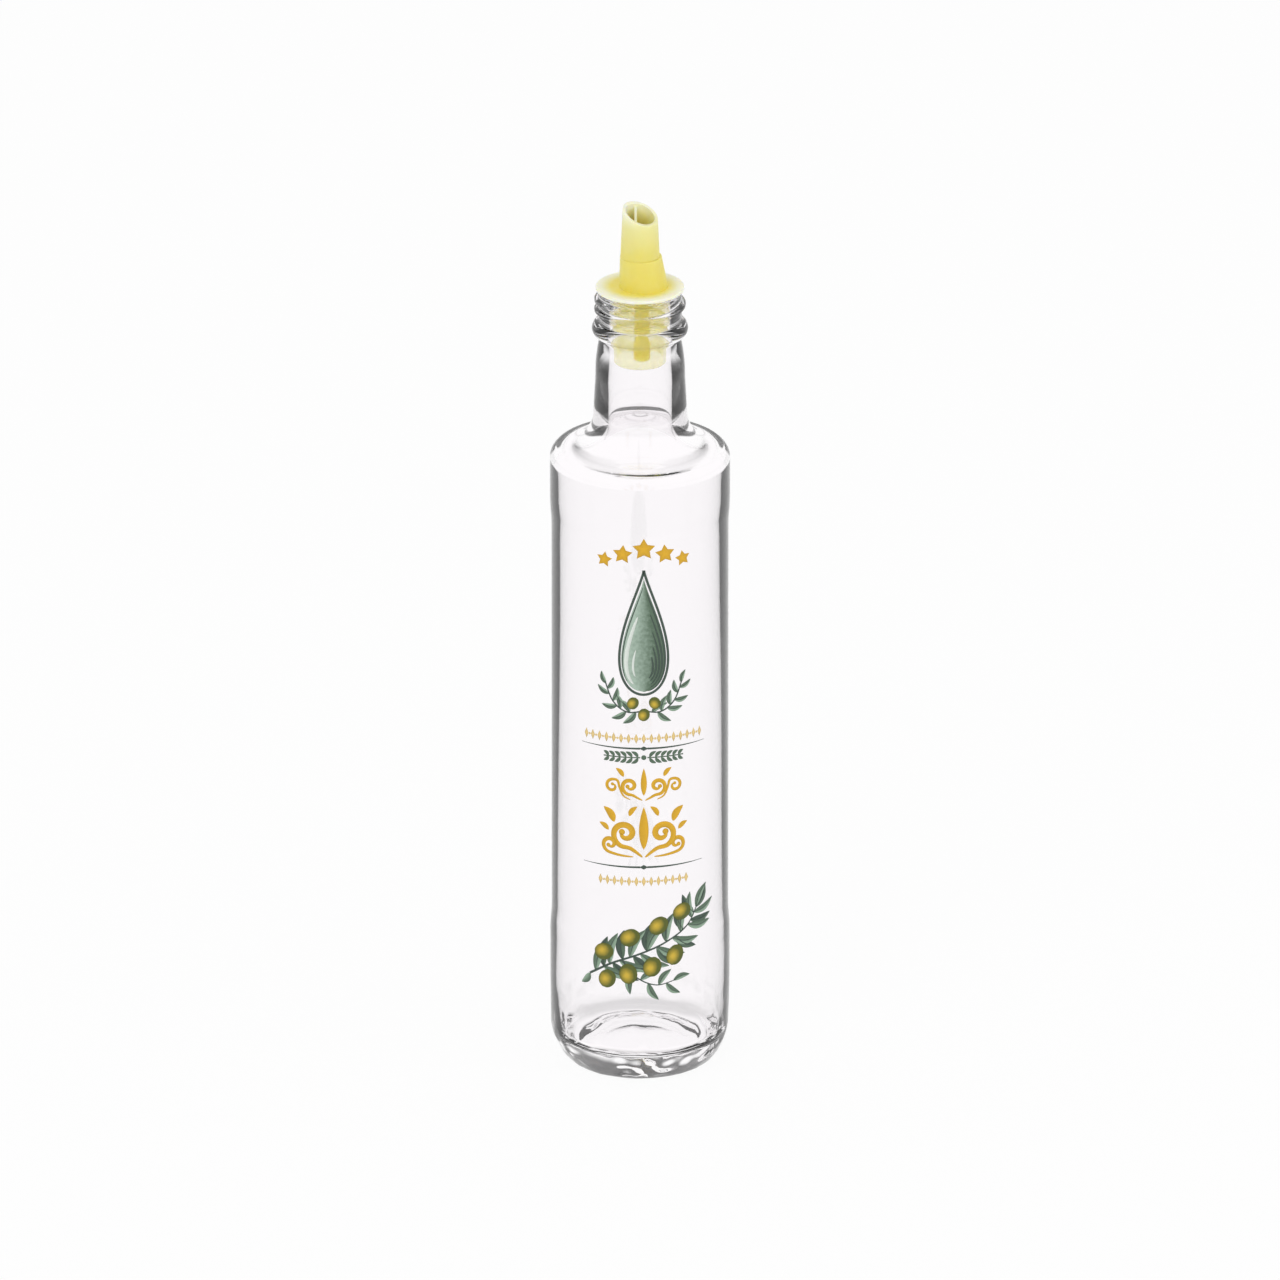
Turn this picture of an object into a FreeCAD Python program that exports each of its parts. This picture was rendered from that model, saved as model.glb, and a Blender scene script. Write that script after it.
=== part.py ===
"""Glass oil cruet: a screw-neck bottle with a moulded plastic pourer pushed into its mouth.

Millimetres, +Z up. The origin is the centre of the base, on the surface the bottle stands on.
The printed side faces -Y.
"""

import FreeCAD
import Part
import math
import os

# ---- bottle: overall sizes -------------------------------------------------------------------
BOTTLE_DIAMETER = 61.5      # over the two contact bands
BOTTLE_HEIGHT = 281.0       # base to rim
FOOT_WALL = 2.0             # glass thickness of the body above the heel
TOP_WALL = 3.2              # and below the shoulder
SHOULDER_DROP = 61.2        # from the rim down to where the straight side ends

# ---- bottle: base ----------------------------------------------------------------------------
HEEL_INSET = 9.0            # from the side to the outer edge of the foot ring
HEEL_RISE = 15.0            # from the surface to where the side is straight
FOOT_ARC = 5.5              # radius where the heel turns into the foot ring
FOOT_WIDTH = 1.6            # flat ring that the bottle stands on
PUNT_RISE = 4.0             # hollow under the base
BASE_THICKNESS = 7.5        # glass at the centre of the base
FLOOR_DOME = 150.0          # radius of the domed inside floor
INNER_HEEL_ARC = 4.5        # radius between the inside floor and the wall

# ---- bottle: recessed panel that carries the print, followed by the inside of the wall --------
PANEL_RECESS = 0.5
PANEL_BLEND = 12.0          # height of the S-curve at each end of the panel
LOWER_BAND_TOP = 46.0
UPPER_BAND_HEIGHT = 13.0    # below the shoulder

# ---- bottle: shoulder and neck ---------------------------------------------------------------
SHOULDER_ARC = 4.6
SHOULDER_SLOPE = 10.0       # degrees above level
NECK_FILLET = 12.0          # less where the shoulder is too narrow for it
NECK_FOOT_WALL = 5.0        # glass at the foot of the neck
NECK_DRAFT = 3.0            # degrees that the neck narrows upwards
NECK_STRAIGHT = 14.0        # height of the conical stretch
WAIST_WALL = 2.7            # glass at the narrowest place, under the transfer bead
WAIST_BULGE = 0.45          # how far the neck swells between the cone and the waist
BORE_DIAMETER = 22.0
INNER_SHOULDER_ARC = 3.2
INNER_NECK_FILLET = 13.0

# ---- bottle: finish, measured down from the rim ----------------------------------------------
MOUTH_DIAMETER = 20.8       # bore of the finish, where the plug seals
MOUTH_DEPTH = 15.0          # depth of that bore before it runs into the neck bore
MOUTH_BLEND = 4.0
BEAD_DROP = 13.9            # rim to the middle of the transfer bead
FINISH_WALL = 3.9           # glass at the thread root
BEAD_HEIGHT = 2.1           # bead above the thread root
BEAD_ARC = 2.9              # radius of the bead's section
RIM_OUTER_ARC = 1.0
RIM_INNER_ARC = 0.6
THREAD_HEIGHT = 1.3         # crest above root
THREAD_PITCH = 3.6
THREAD_TURNS = 1.75
THREAD_FOOT_WIDTH = 2.4
THREAD_CREST_WIDTH = 1.0
THREAD_DROP = 2.6           # rim to the middle of the thread's upper end
THREAD_SINK = 0.6           # how far the ridge's foot lies inside the neck
THREAD_END_SINK = 0.2       # how far the crest lies inside the neck at both ends
THREAD_FADE = 0.2           # turns over which each end of the thread rises
THREAD_SECTIONS = 24        # sections of the ridge in each turn

# ---- pourer ----------------------------------------------------------------------------------
FLANGE_OVERHANG = 0.8       # past the thread root
FLANGE_THICKNESS = 1.2
FLANGE_EDGE = 0.35
SPOUT_WALL = 1.1
SPOUT_FOOT_RADIUS = 7.2     # beak, at the flange
SPOUT_MOUTH_RADIUS = 6.0    # beak, at the middle of the mouth
SPOUT_HEIGHT = 26.2         # flange to the middle of the mouth
MOUTH_TILT_FRONT = 18.2     # degrees that the cut mouth leans to the front
MOUTH_TILT_SIDE = 18.2      # and to the side
SLEEVE_HEIGHT = 10.8        # wider foot of the spout
SLEEVE_FOOT_GROWTH = 1.1    # its radius past the beak's, at the flange
SLEEVE_FOOT_SHIFT = 1.2     # its foot is set to one side
SLEEVE_TOP_GROWTH = 0.4
SLEEVE_TOP_SHIFT = 0.3
WEB_THICKNESS = 0.8         # wall that parts the spout's two channels
WEB_SHIFT = -1.5            # its middle, from the spout's axis
WEB_DROP = 1.2              # web top below the lip
PLUG_LENGTH = 26.0
PLUG_WALL = 1.1
PLUG_GAP = 1.1              # plug skirt to the narrower of the bores it passes
PLUG_TIP_CHAMFER = 0.5
SEAL_RIB_COUNT = 3
SEAL_RIB_PITCH = 3.6
SEAL_RIB_DROP = 3.4         # rim to the first rib
SEAL_RIB_WIDTH = 1.2
SEAL_CLEARANCE = 0.12       # rib to bore
TUBE_TOP_RADIUS = 2.35      # dip tube inside the plug, outside
TUBE_FOOT_RADIUS = 2.9
TUBE_BORE_RADIUS = 1.65
TUBE_WEB_GAP = 0.1          # web to the tube's bore

# ---- values that follow ----------------------------------------------------------------------
SHOULDER_HEIGHT = BOTTLE_HEIGHT - SHOULDER_DROP
SIDE_RADIUS = BOTTLE_DIAMETER / 2
INNER_FOOT_RADIUS = SIDE_RADIUS - FOOT_WALL
INNER_TOP_RADIUS = SIDE_RADIUS - TOP_WALL
UPPER_BAND_BOTTOM = SHOULDER_HEIGHT - UPPER_BAND_HEIGHT
FOOT_OUTER = SIDE_RADIUS - HEEL_INSET
FOOT_INNER = FOOT_OUTER - FOOT_WIDTH
BORE_RADIUS = BORE_DIAMETER / 2
MOUTH_BORE_RADIUS = MOUTH_DIAMETER / 2
NECK_FOOT_RADIUS = BORE_RADIUS + NECK_FOOT_WALL
WAIST_RADIUS = BORE_RADIUS + WAIST_WALL
FINISH_RADIUS = MOUTH_BORE_RADIUS + FINISH_WALL
BEAD_RADIUS = FINISH_RADIUS + BEAD_HEIGHT
THREAD_RADIUS = FINISH_RADIUS + THREAD_HEIGHT
FLANGE_RADIUS = FINISH_RADIUS + FLANGE_OVERHANG
FLANGE_TOP = BOTTLE_HEIGHT + FLANGE_THICKNESS
SPOUT_TOP = FLANGE_TOP + SPOUT_HEIGHT
PLUG_RADIUS = min(BORE_RADIUS, MOUTH_BORE_RADIUS) - PLUG_GAP
PLUG_BOTTOM = BOTTLE_HEIGHT - PLUG_LENGTH
WEB_LEFT = WEB_SHIFT - WEB_THICKNESS / 2
WEB_RIGHT = WEB_SHIFT + WEB_THICKNESS / 2
TUBE_X = WEB_RIGHT + TUBE_WEB_GAP + TUBE_BORE_RADIUS
SLOPE = math.radians(SHOULDER_SLOPE)
DRAFT = math.radians(NECK_DRAFT)


def unit(vector):
    """The direction of a point (r, z) seen from (0, 0)."""
    length = math.hypot(*vector)
    return vector[0] / length, vector[1] / length


class Outline:
    """A chain of lines and arcs in the (r, z) half plane, revolved into a solid."""

    def __init__(self, r, z):
        self.start = self.end = (r, z)
        self.edges = []

    @staticmethod
    def point(r, z):
        return FreeCAD.Vector(r, 0, z)

    def line(self, r, z):
        if math.dist(self.end, (r, z)) > 1e-6:
            self.edges.append(Part.makeLine(self.point(*self.end), self.point(r, z)))
        self.end = (r, z)

    def arc(self, centre, end):
        """The shorter arc round centre to end, which is as far from centre as the pen is."""
        radius = math.dist(centre, self.end)
        towards = unit(tuple((a + b) / 2 - c for a, b, c in zip(self.end, end, centre)))
        middle = tuple(c + radius * t for c, t in zip(centre, towards))
        self.through(middle, end)

    def through(self, middle, end):
        """The arc through a middle point to end."""
        arc = Part.Arc(self.point(*self.end), self.point(*middle), self.point(*end))
        self.edges.append(arc.toShape())
        self.end = end

    def solid(self):
        self.line(*self.start)
        face = Part.Face(Part.Wire(self.edges))
        return face.revolve(FreeCAD.Vector(0, 0, 0), FreeCAD.Vector(0, 0, 1), 360)


def step_side(outline, radius, height):
    """An S-curve of two equal arcs from the pen to a straight side of another radius."""
    r, z = outline.end
    offset = radius - r
    rise = height - z
    bend = (offset ** 2 + rise ** 2) / (4 * abs(offset))
    turn = math.copysign(bend, offset)
    outline.arc((r + turn, z), (r + offset / 2, z + rise / 2))
    outline.arc((radius - turn, height), (radius, height))


def draw_panel(outline, foot_radius, top_radius):
    """The side from the heel up to the upper contact band, with the recess between the two bands."""
    outline.line(foot_radius, LOWER_BAND_TOP)
    step_side(outline, foot_radius - PANEL_RECESS, LOWER_BAND_TOP + PANEL_BLEND)
    outline.line(top_radius - PANEL_RECESS, UPPER_BAND_BOTTOM - PANEL_BLEND)
    step_side(outline, top_radius, UPPER_BAND_BOTTOM)


def draw_heel(outline):
    """A small arc off the foot ring runs into a large one that ends at the straight side."""
    inset, rise, small = HEEL_INSET, HEEL_RISE, FOOT_ARC
    large = (inset ** 2 + rise ** 2 - 2 * rise * small) / (2 * (inset - small))
    small_centre = (FOOT_OUTER, small)
    large_centre = (SIDE_RADIUS - large, rise)
    away = unit(tuple(s - l for s, l in zip(small_centre, large_centre)))
    join = tuple(c + small * a for c, a in zip(small_centre, away))
    outline.arc(small_centre, join)
    outline.arc(large_centre, (SIDE_RADIUS, rise))


def draw_shoulder(outline):
    """Shoulder arc, short cone and neck fillet, from the straight side up to the neck."""
    centre = (SIDE_RADIUS - SHOULDER_ARC, SHOULDER_HEIGHT)
    outline.arc(centre, (centre[0] + SHOULDER_ARC * math.sin(SLOPE),
                         centre[1] + SHOULDER_ARC * math.cos(SLOPE)))
    draw_neck_fillet(outline, NECK_FOOT_RADIUS, NECK_FILLET, DRAFT)


def draw_neck_fillet(outline, neck_radius, fillet, draft):
    """From the pen up the sloping shoulder, then round a fillet to the foot of the neck."""
    r, z = outline.end
    widest = (r - neck_radius) / (math.cos(draft) - math.sin(SLOPE))
    fillet = min(fillet, widest)
    centre_r = neck_radius + fillet * math.cos(draft)
    start_r = centre_r - fillet * math.sin(SLOPE)
    start_z = z + (r - start_r) * math.tan(SLOPE)
    centre_z = start_z + fillet * math.cos(SLOPE)
    outline.line(start_r, start_z)
    outline.arc((centre_r, centre_z), (neck_radius, centre_z - fillet * math.sin(draft)))


def draw_neck(outline):
    """Conical neck, swelling into the waist, then the transfer bead and the thread root."""
    foot_r, foot_z = outline.end
    cone_top_r = foot_r - NECK_STRAIGHT * math.tan(DRAFT)
    cone_top_z = foot_z + NECK_STRAIGHT
    outline.line(cone_top_r, cone_top_z)
    bead_z = BOTTLE_HEIGHT - BEAD_DROP
    bead_centre = (BEAD_RADIUS - BEAD_ARC, bead_z)
    under_bead = math.sqrt(BEAD_ARC ** 2 - (WAIST_RADIUS - bead_centre[0]) ** 2)
    waist_z = bead_z - under_bead
    swell = ((cone_top_r + WAIST_RADIUS) / 2 + WAIST_BULGE, (cone_top_z + waist_z) / 2)
    outline.through(swell, (WAIST_RADIUS, waist_z))
    over_bead = math.sqrt(BEAD_ARC ** 2 - (FINISH_RADIUS - bead_centre[0]) ** 2)
    outline.through((BEAD_RADIUS, bead_z), (FINISH_RADIUS, bead_z + over_bead))


def glass_outside():
    """The bottle's whole outer form, without its thread, as a filled solid."""
    outline = Outline(0, PUNT_RISE)
    dome = (FOOT_INNER ** 2 + PUNT_RISE ** 2) / (2 * PUNT_RISE)
    outline.arc((0, PUNT_RISE - dome), (FOOT_INNER, 0))
    outline.line(FOOT_OUTER, 0)
    draw_heel(outline)
    draw_panel(outline, SIDE_RADIUS, SIDE_RADIUS)
    outline.line(SIDE_RADIUS, SHOULDER_HEIGHT)
    draw_shoulder(outline)
    draw_neck(outline)
    outline.line(FINISH_RADIUS, BOTTLE_HEIGHT - RIM_OUTER_ARC)
    outline.arc((FINISH_RADIUS - RIM_OUTER_ARC, BOTTLE_HEIGHT - RIM_OUTER_ARC),
                (FINISH_RADIUS - RIM_OUTER_ARC, BOTTLE_HEIGHT))
    outline.line(0, BOTTLE_HEIGHT)
    return outline.solid()


def glass_inside():
    """The hollow: domed floor, wall, shoulder, neck bore and the mouth's bore."""
    floor_z = PUNT_RISE + BASE_THICKNESS
    outline = Outline(0, floor_z)
    heel_r = INNER_FOOT_RADIUS - INNER_HEEL_ARC
    dome_centre = (0, floor_z - FLOOR_DOME)
    heel_z = dome_centre[1] + math.sqrt((FLOOR_DOME + INNER_HEEL_ARC) ** 2 - heel_r ** 2)
    down = unit((dome_centre[0] - heel_r, dome_centre[1] - heel_z))
    outline.arc(dome_centre, (heel_r + INNER_HEEL_ARC * down[0], heel_z + INNER_HEEL_ARC * down[1]))
    outline.arc((heel_r, heel_z), (INNER_FOOT_RADIUS, heel_z))

    draw_panel(outline, INNER_FOOT_RADIUS, INNER_TOP_RADIUS)
    ceiling_drop = TOP_WALL + INNER_SHOULDER_ARC - SHOULDER_ARC
    centre = (INNER_TOP_RADIUS - INNER_SHOULDER_ARC, SHOULDER_HEIGHT - ceiling_drop)
    outline.line(INNER_TOP_RADIUS, centre[1])
    outline.arc(centre, (centre[0] + INNER_SHOULDER_ARC * math.sin(SLOPE),
                         centre[1] + INNER_SHOULDER_ARC * math.cos(SLOPE)))
    draw_neck_fillet(outline, BORE_RADIUS, INNER_NECK_FILLET, 0)

    outline.line(BORE_RADIUS, BOTTLE_HEIGHT - MOUTH_DEPTH - MOUTH_BLEND)
    outline.line(MOUTH_BORE_RADIUS, BOTTLE_HEIGHT - MOUTH_DEPTH)
    outline.line(MOUTH_BORE_RADIUS, BOTTLE_HEIGHT - RIM_INNER_ARC)
    outline.arc((MOUTH_BORE_RADIUS + RIM_INNER_ARC, BOTTLE_HEIGHT - RIM_INNER_ARC),
                (MOUTH_BORE_RADIUS + RIM_INNER_ARC, BOTTLE_HEIGHT))
    outline.line(0, BOTTLE_HEIGHT)
    return outline.solid()


def thread():
    """The right-hand screw thread: one ridge that rises out of the neck and sinks back at its ends."""
    count = round(THREAD_TURNS * THREAD_SECTIONS) + 1
    lowest = BOTTLE_HEIGHT - THREAD_DROP - THREAD_PITCH * THREAD_TURNS
    foot_radius = FINISH_RADIUS - THREAD_SINK
    end_radius = FINISH_RADIUS - THREAD_END_SINK
    wires = []
    for i in range(count):
        turns = THREAD_TURNS * i / (count - 1)
        rise = min(turns, THREAD_TURNS - turns) / THREAD_FADE
        crest_radius = end_radius + min(rise, 1) * (THREAD_RADIUS - end_radius)
        angle = 2 * math.pi * turns
        z = lowest + THREAD_PITCH * turns
        section = [(foot_radius, -THREAD_FOOT_WIDTH / 2), (crest_radius, -THREAD_CREST_WIDTH / 2),
                   (crest_radius, THREAD_CREST_WIDTH / 2), (foot_radius, THREAD_FOOT_WIDTH / 2)]
        corners = [FreeCAD.Vector(r * math.cos(angle), r * math.sin(angle), z + dz) for r, dz in section]
        wires.append(Part.makePolygon(corners + corners[:1]))
    return Part.makeLoft(wires, True, True)


def make_bottle():
    return glass_outside().cut(glass_inside()).fuse(thread()).removeSplitter()


def leaning_cone(foot_radius, top_radius, foot_z, top_z, foot_x=0, top_x=0):
    """A cone between two level circles whose centres may be set aside from each other."""
    up = FreeCAD.Vector(0, 0, 1)
    foot = Part.makeCircle(foot_radius, FreeCAD.Vector(foot_x, 0, foot_z), up)
    top = Part.makeCircle(top_radius, FreeCAD.Vector(top_x, 0, top_z), up)
    return Part.makeLoft([Part.Wire([foot]), Part.Wire([top])], True, True)


def spout_radius(z):
    """Outside radius of the beak at height z."""
    share = (z - FLANGE_TOP) / SPOUT_HEIGHT
    return SPOUT_FOOT_RADIUS + share * (SPOUT_MOUTH_RADIUS - SPOUT_FOOT_RADIUS)


def spout():
    """Beak with a slanting mouth on a wider sleeve, bored out and parted by a web."""
    across = math.tan(math.radians(MOUTH_TILT_SIDE))
    along = math.tan(math.radians(MOUTH_TILT_FRONT))
    tip = SPOUT_TOP + SPOUT_MOUTH_RADIUS * (across + along)
    beak = leaning_cone(SPOUT_FOOT_RADIUS, spout_radius(tip), FLANGE_TOP, tip)
    sleeve_top = FLANGE_TOP + SLEEVE_HEIGHT
    sleeve_foot_radius = SPOUT_FOOT_RADIUS + SLEEVE_FOOT_GROWTH
    sleeve_top_radius = spout_radius(sleeve_top) + SLEEVE_TOP_GROWTH
    sleeve = leaning_cone(sleeve_foot_radius, sleeve_top_radius, FLANGE_TOP, sleeve_top,
                          SLEEVE_FOOT_SHIFT, SLEEVE_TOP_SHIFT)
    channel = leaning_cone(SPOUT_FOOT_RADIUS - SPOUT_WALL, spout_radius(tip) - SPOUT_WALL, FLANGE_TOP, tip)

    size = 2 * (SPOUT_HEIGHT + SPOUT_FOOT_RADIUS)
    above_mouth = Part.makeBox(size, size, size, FreeCAD.Vector(-size / 2, -size / 2, 0))
    turn = FreeCAD.Rotation(FreeCAD.Vector(0, 0, 1), FreeCAD.Vector(across, -along, 1))
    above_mouth.Placement = FreeCAD.Placement(FreeCAD.Vector(0, 0, SPOUT_TOP), turn)
    above_web = above_mouth.translated(FreeCAD.Vector(0, 0, -WEB_DROP))

    web = Part.makeBox(WEB_THICKNESS, 2 * SPOUT_FOOT_RADIUS, tip - FLANGE_TOP,
                       FreeCAD.Vector(WEB_LEFT, -SPOUT_FOOT_RADIUS, FLANGE_TOP))
    web = web.common(channel).cut(above_web)
    return beak.fuse(sleeve).cut([channel, above_mouth]).fuse(web)


def air_window():
    """The opening through the flange under the narrow channel, left of the web."""
    radius = SPOUT_FOOT_RADIUS - SPOUT_WALL
    foot = FreeCAD.Vector(0, 0, BOTTLE_HEIGHT)
    disc = Part.makeCylinder(radius, FLANGE_THICKNESS, foot)
    right = Part.makeBox(2 * radius, 2 * radius, FLANGE_THICKNESS,
                         FreeCAD.Vector(WEB_LEFT, -radius, BOTTLE_HEIGHT))
    return disc.cut(right)


def plug():
    """Skirt with sealing ribs, and the dip tube inside it."""
    skirt = Outline(PLUG_RADIUS - PLUG_WALL, BOTTLE_HEIGHT)
    skirt.line(PLUG_RADIUS - PLUG_WALL, PLUG_BOTTOM)
    skirt.line(PLUG_RADIUS - PLUG_TIP_CHAMFER, PLUG_BOTTOM)
    skirt.line(PLUG_RADIUS, PLUG_BOTTOM + PLUG_TIP_CHAMFER)
    rib_radius = MOUTH_BORE_RADIUS - SEAL_CLEARANCE
    for i in reversed(range(SEAL_RIB_COUNT)):
        z = BOTTLE_HEIGHT - SEAL_RIB_DROP - i * SEAL_RIB_PITCH
        skirt.line(PLUG_RADIUS, z - SEAL_RIB_WIDTH / 2)
        skirt.through((rib_radius, z), (PLUG_RADIUS, z + SEAL_RIB_WIDTH / 2))
    skirt.line(PLUG_RADIUS, BOTTLE_HEIGHT)
    tube = leaning_cone(TUBE_FOOT_RADIUS, TUBE_TOP_RADIUS, PLUG_BOTTOM, BOTTLE_HEIGHT, TUBE_X, TUBE_X)
    return skirt.solid().fuse(tube)


def flange():
    outline = Outline(0, BOTTLE_HEIGHT)
    corner = FLANGE_RADIUS - FLANGE_EDGE
    outline.line(corner, BOTTLE_HEIGHT)
    outline.arc((corner, BOTTLE_HEIGHT + FLANGE_EDGE), (FLANGE_RADIUS, BOTTLE_HEIGHT + FLANGE_EDGE))
    outline.line(FLANGE_RADIUS, FLANGE_TOP - FLANGE_EDGE)
    outline.arc((corner, FLANGE_TOP - FLANGE_EDGE), (corner, FLANGE_TOP))
    outline.line(0, FLANGE_TOP)
    return outline.solid()


def make_pourer():
    body = flange().fuse([spout(), plug()])
    tube_bore = Part.makeCylinder(TUBE_BORE_RADIUS, FLANGE_TOP - PLUG_BOTTOM,
                                  FreeCAD.Vector(TUBE_X, 0, PLUG_BOTTOM))
    return body.cut([tube_bore, air_window()]).removeSplitter()


NODES = {"bottle": make_bottle, "pourer": make_pourer}


def main():
    os.makedirs("parts", exist_ok=True)
    for name, make in NODES.items():
        shape = make()
        if len(shape.Solids) != 1:
            raise ValueError(f"{name} is {len(shape.Solids)} solids")
        solid = shape.Solids[0]
        box = solid.BoundBox
        print(name, "valid", solid.isValid(), "volume cm3", round(solid.Volume / 1000, 2),
              "faces", len(solid.Faces), "z", round(box.ZMin, 2), round(box.ZMax, 2))
        solid.exportStep(f"parts/{name}.step")


main()
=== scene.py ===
"""Glass oil cruet: clear screw-neck bottle, yellow pourer and the decoration printed on the glass."""

import math

import bmesh
import bpy
from bpy.props import FloatProperty, FloatVectorProperty, PointerProperty
from mathutils import Matrix, Vector, noise
from mathutils.geometry import interpolate_bezier


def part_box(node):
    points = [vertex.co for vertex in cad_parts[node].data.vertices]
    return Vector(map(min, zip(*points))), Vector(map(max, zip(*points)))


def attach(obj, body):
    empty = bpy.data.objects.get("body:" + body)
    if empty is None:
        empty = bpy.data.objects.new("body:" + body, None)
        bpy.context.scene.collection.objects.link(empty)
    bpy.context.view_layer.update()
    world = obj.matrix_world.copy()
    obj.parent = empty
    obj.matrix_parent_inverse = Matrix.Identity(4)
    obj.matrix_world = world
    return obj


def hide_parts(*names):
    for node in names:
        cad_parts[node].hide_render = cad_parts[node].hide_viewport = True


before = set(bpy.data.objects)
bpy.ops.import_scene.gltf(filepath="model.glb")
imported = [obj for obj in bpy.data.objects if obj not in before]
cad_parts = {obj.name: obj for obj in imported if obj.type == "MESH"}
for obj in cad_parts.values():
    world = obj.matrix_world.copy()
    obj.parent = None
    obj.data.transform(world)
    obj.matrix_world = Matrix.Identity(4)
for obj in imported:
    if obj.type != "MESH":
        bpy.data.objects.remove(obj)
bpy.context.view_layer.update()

bl_info = {
    "name": "Oil Cruet",
    "version": (1, 0, 0),
    "blender": (4, 5, 0),
    "location": "3D View > Sidebar > Cruet",
    "description": "Builds a glass oil cruet with its pourer, its printed decoration and a studio stage",
    "category": "Add Mesh",
}

MM = 0.001
BODY = "root"
RIM_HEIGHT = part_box("bottle")[1].z
SIDE_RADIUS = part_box("bottle")[1].x
SPOUT_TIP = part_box("pourer")[1].z
FLANGE_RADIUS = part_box("pourer")[1].x

# Print sizes are in millimetres, along the glass and up it.
PRINT_CENTRE = 1.3
STRIP_WIDTH = 1
STRIP_HEIGHTS = range(44, 206, 2)
CUT_TOLERANCE = 2e-3
LIFTS = 7
LIFT_STEP = 0.009


def length(name, description, millimetres):
    """A size in the sidebar, given in millimetres and stored in metres."""
    return FloatProperty(name=name, description=description, default=millimetres * MM, unit="LENGTH",
                         precision=4)


def angle(name, description, degrees):
    return FloatProperty(name=name, description=description, default=math.radians(degrees), subtype="ANGLE")


def colour(name, description, red, green, blue):
    """A colour given as it looks on screen, stored linear."""
    linear = [((c + 0.055) / 1.055) ** 2.4 if c > 0.04045 else c / 12.92 for c in (red, green, blue)]
    return FloatVectorProperty(name=name, description=description, default=linear, subtype="COLOR",
                               min=0, max=1)


def plain(name, description, value):
    return FloatProperty(name=name, description=description, default=value)


# ---- sizes and colours a user would change ---------------------------------------------------

class CruetGlass(bpy.types.PropertyGroup):
    foot_wall: length("Foot wall", "Glass thickness of the body above the heel", 2.0)
    top_wall: length("Top wall", "Glass thickness of the body below the shoulder", 3.2)
    shoulder_drop: length("Shoulder drop", "From the rim down to where the straight side ends", 61.2)
    heel_inset: length("Heel inset", "From the side to the foot ring", 9.0)
    heel_rise: length("Heel rise", "From the table to the straight side", 15.0)
    foot_arc: length("Foot arc", "Radius where the heel turns into the foot ring", 5.5)
    foot_width: length("Foot width", "Flat ring the bottle stands on", 1.6)
    punt_rise: length("Punt rise", "Hollow under the base", 4.0)
    base_thickness: length("Base thickness", "Glass at the centre of the base", 7.5)
    floor_dome: length("Floor dome", "Radius of the domed inside floor", 150.0)
    inner_heel_arc: length("Inner heel arc", "Radius between the inside floor and the wall", 4.5)
    panel_recess: length("Panel recess", "Depth of the panel that carries the print", 0.5)
    panel_blend: length("Panel blend", "Height of the curve at each end of the panel", 12.0)
    lower_band_top: length("Lower band top", "Top of the lower contact band", 46.0)
    upper_band_height: length("Upper band height", "Upper contact band, below the shoulder", 13.0)
    shoulder_arc: length("Shoulder arc", "Radius of the shoulder", 4.6)
    shoulder_slope: angle("Shoulder slope", "Slope between the shoulder and the neck", 10.0)
    neck_fillet: length("Neck fillet", "Radius where the shoulder turns into the neck", 12.0)
    neck_foot_radius: length("Neck foot radius", "Outside of the neck at its foot", 16.0)
    neck_draft: angle("Neck draft", "How much the neck narrows upwards", 3.0)
    neck_straight: length("Neck straight", "Height of the conical stretch", 14.0)
    waist_radius: length("Waist radius", "Neck under the transfer bead", 13.7)
    waist_bulge: length("Waist bulge", "Swelling between the cone and the waist", 0.45)
    bore_radius: length("Bore radius", "Inside of the neck", 11.0)
    inner_shoulder_arc: length("Inner shoulder arc", "Radius inside the shoulder", 3.2)
    inner_neck_fillet: length("Inner neck fillet", "Radius inside the foot of the neck", 13.0)
    mouth_radius: length("Mouth radius", "Bore of the screw finish", 10.4)
    mouth_depth: length("Mouth depth", "Depth of that bore", 15.0)
    mouth_blend: length("Mouth blend", "Height over which it narrows to the neck", 4.0)
    bead_drop: length("Bead drop", "Rim to the middle of the transfer bead", 13.9)
    bead_radius: length("Bead radius", "Neck over the bead", 16.4)
    bead_arc: length("Bead arc", "Radius of the bead's section", 2.9)
    finish_radius: length("Finish radius", "Thread root", 14.3)
    rim_outer_arc: length("Rim outer arc", "Rounding outside the rim", 1.0)
    rim_inner_arc: length("Rim inner arc", "Rounding inside the rim", 0.6)
    thread_height: length("Thread height", "Crest above root", 1.3)
    thread_pitch: length("Thread pitch", "Rise in one turn", 3.6)
    thread_turns: plain("Thread turns", "Turns of the ridge", 1.75)
    thread_foot: length("Thread foot", "Width of the ridge at its foot", 2.4)
    thread_crest: length("Thread crest", "Width of the ridge at its crest", 0.8)
    thread_drop: length("Thread drop", "Rim to the ridge's upper end", 2.6)
    thread_fade: plain("Thread fade", "Turns over which each end rises", 0.2)
    ripple: length("Ripple", "Unevenness of the inner wall, as blown glass has", 0.35)
    unevenness: length("Unevenness", "How far the moulded heel strays inwards from its true shape", 0.55)
    tint: colour("Tint", "Colour of the glass", 1.0, 0.994, 0.998)
    ior: plain("Index", "Index of refraction", 1.52)
    ink_lift: length("Ink lift", "Ink's inner face off the glass", 0.03)
    ink_thickness: length("Ink thickness", "One layer of ink", 0.05)


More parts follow.
